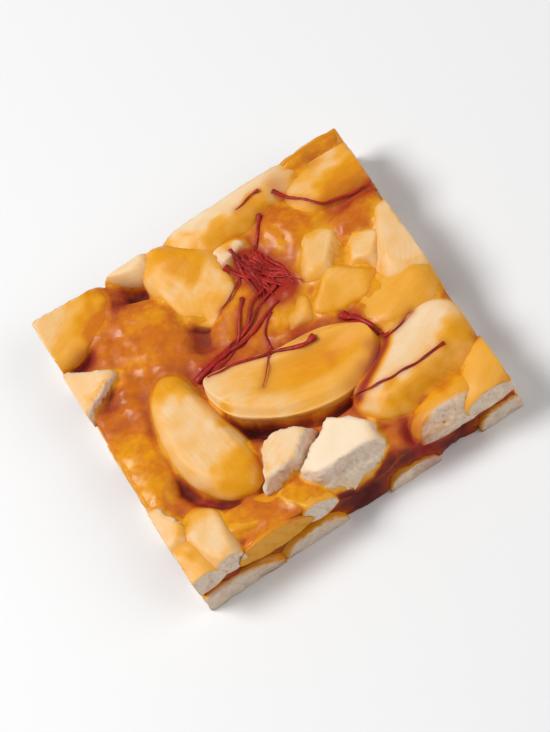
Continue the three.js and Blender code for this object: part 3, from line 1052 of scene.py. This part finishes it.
class BRITTLE_PG_sizes(bpy.types.PropertyGroup):
    """Sizes of the brittle's pieces."""
    sugar_level: millimetres("Sugar level", "Height of the sugar between the cashews", 8.9)
    meniscus: millimetres("Meniscus", "How softly the sugar climbs the cashews", 1.0)
    pitch: millimetres("Pitch", "Distance between the points of the sugar's top", 0.22)
    base_height: millimetres("Base height", "Height of the sugar's underside over the floor", 0.12)
    wall_relief: millimetres("Wall relief", "How deep the hollows in the broken sides are", 0.9)
    thread_lift: millimetres("Thread lift", "How far a saffron thread stands off what it lies on", 0.06)


class BRITTLE_PG_colours(bpy.types.PropertyGroup):
    """Colours of the brittle and its floor."""
    white: colour("White cashew", "The palest cashew", (0.93, 0.745, 0.53))
    pale: colour("Pale cashew", "Pale skin of a cashew", (0.86, 0.605, 0.345))
    gold: colour("Golden cashew", "Well roasted skin of a cashew", (0.85, 0.415, 0.06))
    orange: colour("Orange sugar", "A film of sugar over a cashew", (0.77, 0.32, 0.006))
    amber: colour("Amber sugar", "Sugar a millimetre deep", (0.62, 0.17, 0.01))
    # Brown and dark sugar also carry the painted shade of hollows, crevices and valleys
    brown: colour("Brown sugar", "Sugar that lies deep between cashews", (0.35, 0.05, 0.01))
    dark: colour("Dark sugar", "Sugar at its deepest", (0.13, 0.016, 0.012))
    # Stain red, also used as painted shade along a crevice between two cashews
    stain: colour("Stain", "Sugar round the saffron", (0.36, 0.014, 0.014))
    meal: colour("Cut cashew", "The cut face of a cashew", (0.97, 0.825, 0.68))
    crumb: colour("Cut cashew grain", "The grain in a cut face", (0.84, 0.605, 0.44))
    thread: colour("Saffron", "A saffron thread", (0.46, 0.02, 0.014))
    thread_dark: colour("Dark saffron", "The dark spots of a saffron thread", (0.2, 0.008, 0.006))
    thread_end: colour("Saffron end", "The thin end of a saffron thread", (0.45, 0.04, 0.012))
    floor: colour("Floor", "The floor", (0.86, 0.86, 0.86))


class BRITTLE_PG_stage(bpy.types.PropertyGroup):
    """The camera and the light."""
    elevation: degrees("Elevation", "Camera's angle above the floor", 58.6)
    roll: degrees("Roll", "How far the front edge rises in the picture", 33.3)
    distance: FloatProperty(name="Distance", description="Camera's distance", default=0.56, unit="LENGTH")
    lens: FloatProperty(name="Lens", description="Focal length in millimetres", default=182.0)
    key: watts("Key light", "Power of the large light", 3.8)
    fill: watts("Fill light", "Power of the light from the other side", 1.6)
    sky: FloatProperty(name="Sky", description="Strength of the even light from all round", default=0.25)


def current_ground():
    """The top of the brittle for the present sizes."""
    sizes = bpy.context.scene.brittle_sizes
    return ground(*(round(size / MM, 4) for size in (sizes.sugar_level, sizes.meniscus, sizes.pitch)))


# Saffron threads

def clump_thread(i):
    """One thread of the clump, as points and its thickness.

    It crosses the gates from one random share of their width to another, and a random stretch of it is kept.
    """
    rng = np.random.default_rng(CLUMP_SEED + i)
    left, right = np.array(CLUMP).swapaxes(0, 1)
    share = np.linspace(rng.uniform(*CLUMP_SHARES), rng.uniform(*CLUMP_SHARES), len(left))[:, None]
    corners = left + (right - left) * share + rng.normal(0, CLUMP_STRAY, left.shape)
    path = smooth_path(corners, CLUMP_POINTS)[rng.integers(*CLUMP_STARTS):rng.integers(*CLUMP_ENDS)]
    return path[::CLUMP_STEP], rng.uniform(*CLUMP_THICKNESS)


# A thread's points along and round it, and how far and over what length it sways, with the seeds for that
THREAD_POINTS = 48
THREAD_SIDES = 10
THREAD_SWAY = 0.1
THREAD_WAVE = 4
SWAY_SEEDS = (60, 80)
RISE_SEED = 40

# How many cells of the ground are blurred below the threads
SURFACE_BLUR = 2.0

# How many points on each side a thread spans from one high place to the next, and is eased over
THREAD_SPAN = 2
THREAD_EASE = 4

# How far a thread stains what is below it, and over what distance that fades
THREAD_STAIN = 0.8
THREAD_STAIN_REACH = 0.7


def highest_near(values, reach):
    """The highest of each value and its neighbours on both sides."""
    wide = np.pad(values, reach, mode="edge")
    return np.lib.stride_tricks.sliding_window_view(wide, 2 * reach + 1).max(1)


def eased(values, reach):
    """Each value averaged with its neighbours on both sides, weighted by a Hann window."""
    window = np.hanning(2 * reach + 1)
    return np.convolve(np.pad(values, reach, mode="edge"), window / window.sum(), mode="valid")


def thread_lines():
    """Each saffron thread's points over the brittle, with its thickness.

    A thread sways and rises by slow waves, and lies on the highest of what is near below it.
    """
    top = current_ground()
    lift = bpy.context.scene.brittle_sizes.thread_lift / MM
    surface = blurred(np.maximum(top.sugar, top.cashews), SURFACE_BLUR)
    threads = []
    for i, (corners, thickness) in enumerate(THREADS + tuple(map(clump_thread, range(CLUMP_THREADS)))):
        path = smooth_path(corners, THREAD_POINTS)
        flat = path + THREAD_SWAY * np.stack([waves(path, THREAD_WAVE, seed + i) for seed in SWAY_SEEDS], -1)
        below = top.at(surface, flat)
        rise = THREAD_SWAY * (1 + waves(flat, THREAD_WAVE, RISE_SEED + i))
        height = eased(highest_near(below, THREAD_SPAN) + rise, THREAD_EASE)
        height = np.maximum(height, below) + lift
        threads.append((np.column_stack([flat, height]), thickness))
    return threads


def stains_and_shade(points):
    """How far saffron has stained the points, from the threads over them and the spots round their clumps,
    some of which are red painted shade along a crevice.
    """
    cloud = np.concatenate([line for line, _ in thread_lines()])
    apart = distance_to(points[:, :2], cloud[:, :2])
    near = THREAD_STAIN * np.exp(-(apart / THREAD_STAIN_REACH) ** 2)
    return np.clip(np.maximum(near, spots(points, STAIN_AND_SHADE_SPOTS)), 0, 1)


# The thread's size: its body, how much a trumpet adds at one end and over what share of the thread, how much
# the other end takes away and from what share on, and the ring's width and height
THREAD_BODY = 0.7
TRUMPET = 0.6
TRUMPET_REACH = 0.12
THIN_END = 0.4
THIN_START = 0.6
THREAD_WAVES = ((0.15, 2.2, 90),)
THREAD_WIDTH = 1.3
THREAD_HEIGHT = 0.75


def thread_tube(line, thickness):
    """A saffron thread: a flattened ring carried along its line, and each point's share of the way.

    The ring is wide as a trumpet at one end, as exp(-(share / reach)^2), and thin at the other.
    """
    share = np.linspace(0, 1, len(line))
    trumpet = TRUMPET * np.exp(-(share / TRUMPET_REACH) ** 2)
    size = 0.5 * thickness * (THREAD_BODY + trumpet - THIN_END * smooth_step(THIN_START, 1, share))
    size *= uneven(line, THREAD_WAVES, level=1)
    way = np.gradient(line, axis=0)
    way /= np.linalg.norm(way, axis=1, keepdims=True)
    across = np.cross(way, [0, 0, 1.0])
    across /= np.linalg.norm(across, axis=1, keepdims=True)
    up = np.cross(across, way)
    angle = np.linspace(0, 2 * np.pi, THREAD_SIDES, endpoint=False)[None, :, None]
    ring = np.cos(angle) * across[:, None] * THREAD_WIDTH + np.sin(angle) * up[:, None] * THREAD_HEIGHT
    return line[:, None] + ring * size[:, None, None], np.repeat(share[:, None], THREAD_SIDES, 1)


# Operators

class BRITTLE_OT_sugar(bpy.types.Operator):
    """Make the slab of cooked sugar round the cashews"""
    bl_idname = "brittle.sugar"
    bl_label = "Sugar"

    def execute(self, context):
        sizes = context.scene.brittle_sizes
        top = current_ground()
        across, down = np.meshgrid(top.x, top.y)
        upper = np.stack([across, down, top.sugar], -1).reshape(-1, 3)
        index = np.arange(len(upper)).reshape(top.sugar.shape)
        loop = np.concatenate([index[0, :-1], index[:-1, -1], index[-1, :0:-1], index[:0:-1, 0]])
        skirt = sugar_skirt(upper[loop], sizes)
        lower = skirt.reshape(-1, 3)
        points = np.concatenate([upper, lower, [[0, 0, sizes.base_height / MM]]])
        attributes = {
            "tone": np.concatenate([top.tone.reshape(-1), side_tone(lower), SIDE_TONES[:1]]),
            "stain": stains_and_shade(points),
            "dull": np.concatenate([top.sunk.reshape(-1), np.ones(len(points) - len(upper))]),
        }
        faces = sugar_faces(index, loop, len(skirt))
        material = sugar_material(context.scene.brittle_colours)
        piece = new_piece("sugar", points, faces, attributes, material)
        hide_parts("sugar_slab")
        return {"FINISHED"}


# Rows of points down the sides and across the underside
SIDE_ROWS = 16
UNDER_ROWS = 12

# Waves in the broken sides: slow ones as shares of the relief about its middle, and quick ones in millimetres
SIDE_MIDDLE = 0.5
SIDE_SLOW = ((0.5, 6, 21),)
SIDE_QUICK = ((0.12, 1.6, 22),)

# How far in they may go, over what share of the height they set in, and how near to a side counts as on it
SIDE_LIMIT = 1.6
SIDE_LIP = 0.15
EDGE_SLACK = 0.01

# The sides' tone at a cashew, what each millimetre away from one adds, and the limits
SIDE_TONE = 1.2
SIDE_DEPTH_TONE = 0.35
SIDE_TONES = (1.3, DARKEST)


def sugar_skirt(edge, sizes):
    """The sides and the underside below the edge of the top, as rows of points.

    The sides go straight down from the edge, drawn in by slow and quick waves as broken sugar is. The
    underside's rows then shrink to the middle.
    """
    drop = np.linspace(0, 1, SIDE_ROWS + 1)[1:, None]
    sides = np.repeat(edge[None], SIDE_ROWS, 0)
    sides[..., 2] = edge[:, 2] * (1 - drop) + sizes.base_height / MM * drop
    limits = np.array([HALF_WIDTH, HALF_DEPTH]) - SUGAR_INSET - EDGE_SLACK
    out = np.where(np.abs(edge[:, :2]) > limits, np.sign(edge[:, :2]), 0)
    slow = uneven(sides, SIDE_SLOW, level=SIDE_MIDDLE)
    inward = sizes.wall_relief / MM * slow + uneven(sides, SIDE_QUICK)
    inward *= smooth_step(0, SIDE_LIP, drop)
    sides[..., :2] -= np.clip(inward, 0, SIDE_LIMIT)[..., None] * out
    shrink = np.linspace(1, 0, UNDER_ROWS + 2)[1:-1, None, None]
    under = sides[-1][None] * np.concatenate([shrink, shrink, np.ones_like(shrink)], -1)
    return np.concatenate([sides, under])


def sugar_faces(index, loop, rows):
    """The sugar's faces: the top's grid, the join from its loop to the rows below, and between those rows.

    A fan from the last row to the hub closes the underside.
    """
    sides = len(loop)
    rim = index.size + np.arange(sides)
    last = rim + (rows - 1) * sides
    hub = index.size + rows * sides
    quads = np.stack([index[:-1, :-1], index[:-1, 1:], index[1:, 1:], index[1:, :-1]], -1).reshape(-1, 4)
    join = np.stack([loop, rim, np.roll(rim, -1), np.roll(loop, -1)], -1)
    return [quads, join, ring_faces(rows, sides, index.size), fan_faces(hub, last[::-1])]


def side_tone(points):
    """The sugar's tone on the broken sides, which grows with the distance to the nearest cashew."""
    cloud = np.concatenate([cashew_surface(c, *CLOUD_MESH).points.reshape(-1, 3) for c in UPPER + BASE])
    return np.clip(SIDE_TONE + SIDE_DEPTH_TONE * distance_to(points, cloud), *SIDE_TONES)


class BRITTLE_OT_cashews(bpy.types.Operator):
    """Make the cashews, each in the place of its solid"""
    bl_idname = "brittle.cashews"
    bl_label = "Cashews"

    def execute(self, context):
        material = cashew_material(context.scene.brittle_colours)
        for cashew in UPPER + BASE:
            rings, sides = BASE_MESH if cashew.base else UPPER_MESH
            surface = Surface(*map(with_ends, cashew_surface(cashew, rings, sides)))
            # A kernel's rings run anticlockwise, so its faces are turned over
            faces = [group[:, ::-1] for group in tube_faces(rings, sides)]
            name = cashew.name.replace("cashew_", "kernel_").replace("chip_", "broken_kernel_")
            piece = new_piece(name, surface.points, faces, cashew_looks(cashew, surface), material)
            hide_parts(cashew.name)
        return {"FINISHED"}


# A cashew is wet up to a line over the sugar's level, and less over a reach above it
WET_LINE = 0.3
WET_REACH = 0.6
WET_WAVES = ((0.15, 3, 31),)

# How far a broken face keeps from the wet's tone, the wet hides a broken face and a cut takes the gloss away
BROKEN_DRYNESS = 0.6
WET_COVER = 0.4
CUT_DULLNESS = 0.8

# The tone from which a cut cashew shows no pale inside, and how far stains, with their painted shade, take
# and reach up
CUT_TONE = 0.6
STAIN_SHARE = 0.8
STAIN_REACH = 1.5


def cashew_looks(cashew, surface):
    """What the cashews' material reads at each point of one.

    Wet falls off as exp(-height / reach) over the sugar. The wet, films, the groove, the kernel's painted
    shade and the painted shade of seams along crevices darken the tone, and a bare dry face is lighter. cut
    is how far the inside shows, on a broken face or the knife's.
    """
    points = surface.points
    top = current_ground()
    over = points[:, 2] - top.at(top.rest, points) - WET_LINE
    above = np.maximum(np.minimum(over, -cashew.film), 0)
    wet = np.exp(-above / (WET_REACH * uneven(points, WET_WAVES, level=1))) * (1 - surface.knife)
    film = films(points)
    dry = (1 - wet) * (1 - film)
    # tone_at brings in the kernel's painted shade
    tone = cashew.tone_at(points) + WET_TONE * wet * (1 - BROKEN_DRYNESS * surface.broken)
    tone += FILM_TONE * (film + surface.groove) - BARE_TONE * surface.bare * dry
    cut = surface.broken * (1 - WET_COVER * wet) + surface.knife * (cashew.tone < CUT_TONE)
    return {
        "grain": surface.place,
        # The seams add painted shade along a crevice
        "tone": np.clip(tone, 0, 1) + lines(points[:, :2], PAINTED_SHADE_SEAMS),
        "cut": cut,
        "wet": np.maximum(wet, film) * (1 - CUT_DULLNESS * cut),
        "stain": STAIN_SHARE * stains_and_shade(points) * np.exp(-above / STAIN_REACH),
    }


class BRITTLE_OT_saffron(bpy.types.Operator):
    """Make the saffron threads on top"""
    bl_idname = "brittle.saffron"
    bl_label = "Saffron"

    def execute(self, context):
        points = []
        along = []
        quads = []
        fans = []
        count = 0
        for line, thickness in thread_lines():
            tube, share = thread_tube(line, thickness)
            between, ends = tube_faces(len(tube), THREAD_SIDES, count)
            points.append(with_ends(tube))
            along.append(with_ends(share))
            quads.append(between)
            fans.append(ends)
            count += len(points[-1])
        faces = [np.concatenate(quads), np.concatenate(fans)]
        attributes = {"along": np.concatenate(along)}
        material = saffron_material(context.scene.brittle_colours)
        new_piece("saffron", np.concatenate(points), faces, attributes, material)
        return {"FINISHED"}


class BRITTLE_OT_stage(bpy.types.Operator):
    """Make the floor, the lights and the camera"""
    bl_idname = "brittle.stage"
    bl_label = "Stage"

    def execute(self, context):
        stage = context.scene.brittle_stage
        make_floor(context.scene.brittle_colours)
        area_light("key", KEY_PLACE, KEY_SIZE, stage.key)
        area_light("fill", FILL_PLACE, FILL_SIZE, stage.fill)
        make_sky(context, stage)
        make_camera(context, stage)
        context.scene.view_settings.view_transform = "Standard"
        return {"FINISHED"}


# The stage in metres: what the camera and the lights look at, the lights' places from there and their sizes,
# half of the floor's side, and the distances between which the camera sees
TARGET = Vector((0, 0, 0.0045))
KEY_PLACE = Vector((-0.34, 0.2, 0.55))
KEY_SIZE = 0.3
FILL_PLACE = Vector((0.45, -0.3, 0.45))
FILL_SIZE = 0.5
FLOOR_HALF = 3.0
CLIP_START = 0.01
CLIP_END = 20


def make_floor(colours):
    """A wide square floor at the height of the underside."""
    corners = [(x, y, 0) for x, y in ((-1, -1), (1, -1), (1, 1), (-1, 1))]
    mesh = bpy.data.meshes.new("floor")
    mesh.from_pydata((FLOOR_HALF * np.array(corners)).tolist(), [], [(0, 1, 2, 3)])
    mesh.materials.append(floor_material(colours))
    floor = bpy.data.objects.new("floor", mesh)
    bpy.context.scene.collection.objects.link(floor)


def area_light(name, offset, size, power_watts):
    """A square soft light that looks at the target from an offset."""
    data = bpy.data.lights.new(name, "AREA")
    data.size = size
    data.energy = power_watts
    light = bpy.data.objects.new(name, data)
    light.location = TARGET + offset
    light.rotation_euler = (-offset).to_track_quat("-Z", "Y").to_euler()
    bpy.context.scene.collection.objects.link(light)


def make_sky(context, stage):
    """An even white light from all round."""
    world = context.scene.world or bpy.data.worlds.new("World")
    context.scene.world = world
    world.use_nodes = True
    background = world.node_tree.nodes["Background"]
    background.inputs["Color"].default_value = (1, 1, 1, 1)
    background.inputs["Strength"].default_value = stage.sky


def make_camera(context, stage):
    """A long lens that looks down on the front edge, rolled so that the edge rises to the right."""
    data = bpy.data.cameras.new("camera")
    data.lens = stage.lens
    data.clip_start = CLIP_START
    data.clip_end = CLIP_END
    camera = bpy.data.objects.new("camera", data)
    back = Vector((0, -math.cos(stage.elevation), math.sin(stage.elevation)))
    level = (-back).to_track_quat("-Z", "Y")
    camera.location = TARGET + back * stage.distance
    camera.rotation_mode = "QUATERNION"
    camera.rotation_quaternion = level @ Quaternion((0, 0, 1), -stage.roll)
    context.scene.collection.objects.link(camera)
    context.scene.camera = camera


class BRITTLE_PT_panel(bpy.types.Panel):
    """The brittle's pieces and settings"""
    bl_idname = "BRITTLE_PT_panel"
    bl_label = "Cashew brittle"
    bl_space_type = "VIEW_3D"
    bl_region_type = "UI"
    bl_category = "Brittle"

    def draw(self, context):
        for operator in OPERATORS:
            self.layout.operator(operator.bl_idname)
        for key in GROUPS:
            group = getattr(context.scene, key)
            box = self.layout.box()
            for name in group.__annotations__:
                box.prop(group, name)


OPERATORS = (BRITTLE_OT_cashews, BRITTLE_OT_sugar, BRITTLE_OT_saffron, BRITTLE_OT_stage)
GROUPS = {
    "brittle_sizes": BRITTLE_PG_sizes,
    "brittle_colours": BRITTLE_PG_colours,
    "brittle_stage": BRITTLE_PG_stage,
}


def register():
    """Makes the classes and the settings known to Blender."""
    for cls in (*GROUPS.values(), *OPERATORS, BRITTLE_PT_panel):
        bpy.utils.register_class(cls)
    for key, group in GROUPS.items():
        setattr(bpy.types.Scene, key, PointerProperty(type=group))


def unregister():
    """Takes the settings and the classes away again."""
    for key in GROUPS:
        delattr(bpy.types.Scene, key)
    for cls in (BRITTLE_PT_panel, *reversed(OPERATORS), *GROUPS.values()):
        bpy.utils.unregister_class(cls)


def main():
    register()
    bpy.ops.brittle.cashews()
    bpy.ops.brittle.sugar()
    bpy.ops.brittle.saffron()
    bpy.ops.brittle.stage()


if __name__ == "__main__":
    main()
